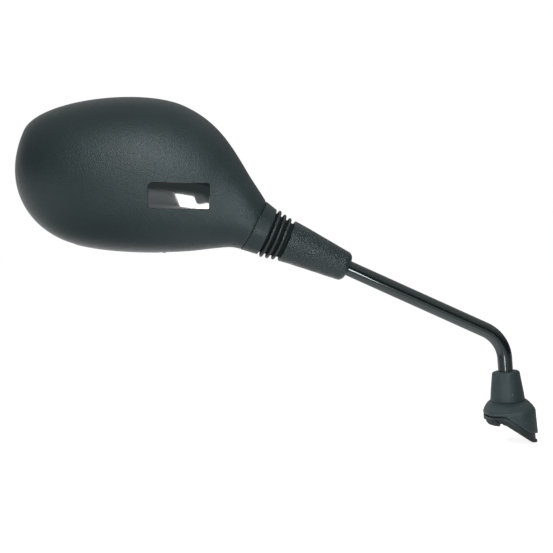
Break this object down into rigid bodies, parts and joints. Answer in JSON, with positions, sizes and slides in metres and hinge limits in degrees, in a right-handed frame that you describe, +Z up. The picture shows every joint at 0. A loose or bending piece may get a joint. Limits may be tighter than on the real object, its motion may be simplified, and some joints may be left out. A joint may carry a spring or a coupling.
{
  "type": "motorcycle mirror",
  "caption": "Fairing-mounted rear-view mirror: moulded teardrop shell with convex glass on a bent steel stem, clamped ball joint under a ribbed boot, and a swivelling rubber-covered foot.",
  "frame": {"origin": "on the stem's swivel axis, in the plane of the fixing holes' mouths at the underside of the cast foot", "axes": "+Z up along the swivel axis, the stem bends in the XZ plane towards -X, the glass faces +Y"},
  "size_m": [0.3424, 0.0527, 0.2575],
  "materials": {
    "shell_plastic": "fine moulded grain",
    "boot_rubber": "smooth moulded rubber",
    "base_rubber": "matte fine grain",
    "pad_rubber": "matte",
    "black_steel": "gloss black paint",
    "cast_metal": "dark cast",
    "zinc_steel": "zinc plated",
    "spring_steel": "dull",
    "liner_plastic": "natural nylon",
    "plate_plastic": "matte",
    "foam_tape": "foam tape",
    "mirror_face": "polished"
  },
  "bodies": {
    "foot_group": {"foot": "cast_metal", "foot_pad": "pad_rubber", "base_boot": "base_rubber"},
    "stem_group": {"stem": "black_steel", "pocket_washer": "zinc_steel", "disc_spring_upper": "spring_steel", "disc_spring_lower": "spring_steel", "nut_washer": "zinc_steel", "lock_nut": "zinc_steel", "neck_boot": "boot_rubber"},
    "ball_group": {"ball": "zinc_steel"},
    "liner_group": {"liner_mouth_half": "liner_plastic", "liner_rear_half": "liner_plastic"},
    "head_group": {"housing": "shell_plastic", "socket": "cast_metal", "pressure_cup": "liner_plastic", "clamp_spring": "spring_steel", "spring_cap": "cast_metal", "socket_screws": "zinc_steel", "backing_plate": "plate_plastic", "plate_screws": "zinc_steel", "adhesive_pad": "foam_tape", "mirror_glass": "mirror_face"}
  },
  "joints": [
    {"name": "stem_swivel", "type": "hinge", "parent": "foot_group", "child": "stem_group", "pos_m": [0, 0, 0.02], "axis": [0, 0, 1], "range_deg": [-45, 45]},
    {"name": "head_roll", "type": "hinge", "parent": "stem_group", "child": "ball_group", "pos_m": [-0.15116, 0, 0.1371], "axis": [-0.8763, 0, 0.4818], "range_deg": [-25, 25], "deforming": ["neck_boot"]},
    {"name": "head_swing", "type": "hinge", "parent": "ball_group", "child": "liner_group", "pos_m": [-0.15116, 0, 0.1371], "axis": [0, 1, 0], "range_deg": [-12, 12], "deforming": ["neck_boot"]},
    {"name": "head_pan", "type": "hinge", "parent": "liner_group", "child": "head_group", "pos_m": [-0.15116, 0, 0.1371], "axis": [0.4818, 0, 0.8763], "range_deg": [-15, 15], "deforming": ["neck_boot"]}
  ]
}
